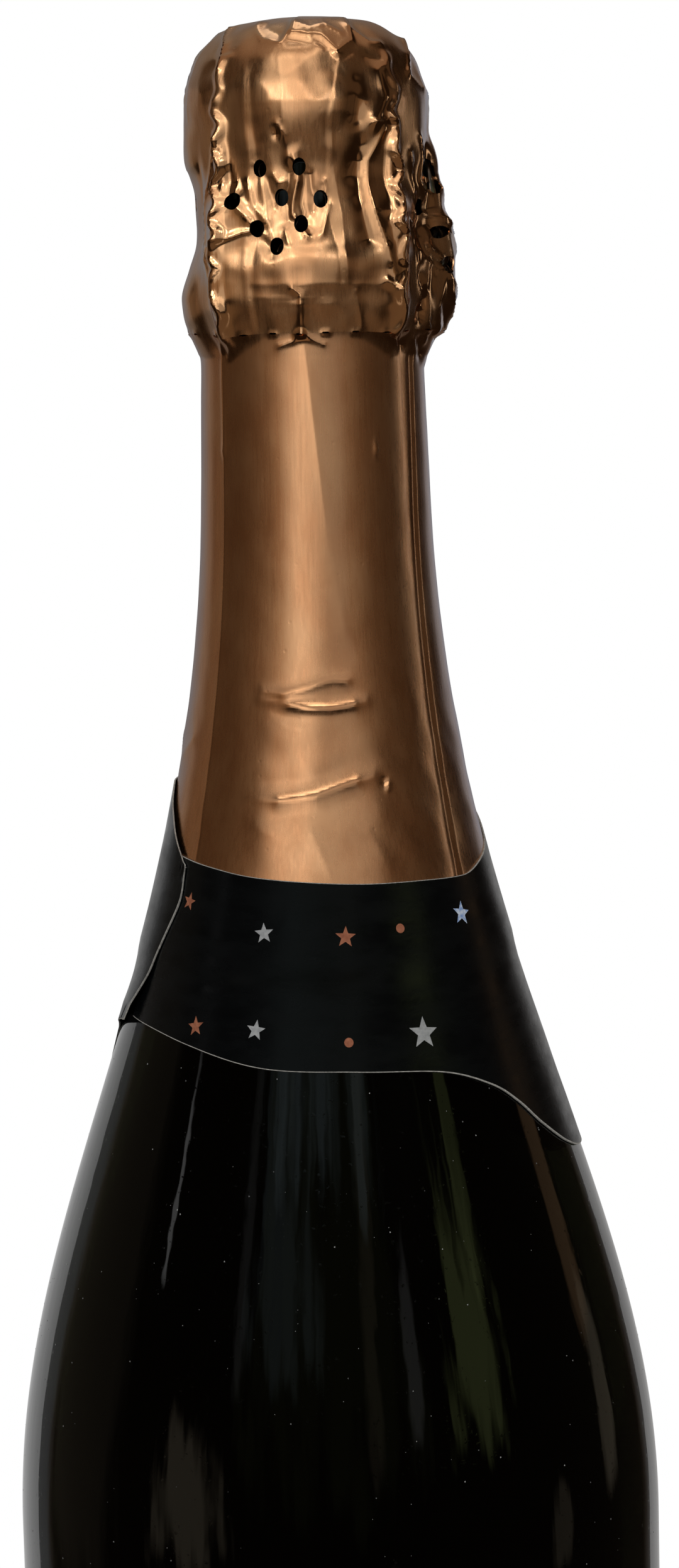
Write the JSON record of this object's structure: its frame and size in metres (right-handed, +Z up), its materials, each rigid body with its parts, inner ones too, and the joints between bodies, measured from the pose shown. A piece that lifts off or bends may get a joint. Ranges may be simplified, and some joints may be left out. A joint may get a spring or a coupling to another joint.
{
  "type": "sparkling wine bottle",
  "caption": "Full sparkling wine bottle with punt, mushroom cork, plaque, twisted wire cage, copper foil hood and sleeve, and dark labels.",
  "frame": {"origin": "centre of the bottle's footprint, on the surface that its bearing ring stands on", "axes": "+Z up along the bottle's axis; -Y faces the side that the picture shows, +X to its right"},
  "size_m": [0.0884, 0.089, 0.3182],
  "materials": {
    "dark_glass": "gloss",
    "wine": "gloss",
    "agglomerated_cork": "matte",
    "natural_cork": "matte",
    "tinplate": "satin",
    "cage_steel": "satin",
    "copper_foil": "satin",
    "label_paper": "satin"
  },
  "bodies": {
    "bottle": {"glass_bottle": "dark_glass", "wine": "wine", "foil_sleeve": "copper_foil", "neck_label": "label_paper", "front_label": "label_paper", "back_label": "label_paper"},
    "stopper": {"cork_trunk": "agglomerated_cork", "cork_disc_upper": "natural_cork", "cork_disc_lower": "natural_cork"},
    "cage": {"plaque": "tinplate", "cage_wire": "cage_steel", "cage_belt": "cage_steel"},
    "tab": {"cage_tab": "cage_steel"},
    "hood": {"foil_hood": "copper_foil"}
  },
  "joints": [
    {"name": "cork_pull", "type": "slide", "parent": "bottle", "child": "stopper", "axis": [0, 0, 1], "range_m": [0, 0.04]},
    {"name": "cage_lift", "type": "slide", "parent": "stopper", "child": "cage", "axis": [0, 0, 1], "range_m": [0, 0.045], "deforming": ["cage_wire", "cage_belt"]},
    {"name": "hood_lift", "type": "slide", "parent": "cage", "child": "hood", "axis": [0, 0, 1], "range_m": [0, 0.055], "deforming": ["foil_hood"]},
    {"name": "tab_fold", "type": "hinge", "parent": "cage", "child": "tab", "pos_m": [0.01625, 0, 0.28125], "axis": [0, 1, 0], "range_deg": [0, 90]}
  ],
  "couplings": [
    {"joint": "tab_fold", "follows": "hood_lift", "rad_per_m": 28.56}
  ]
}
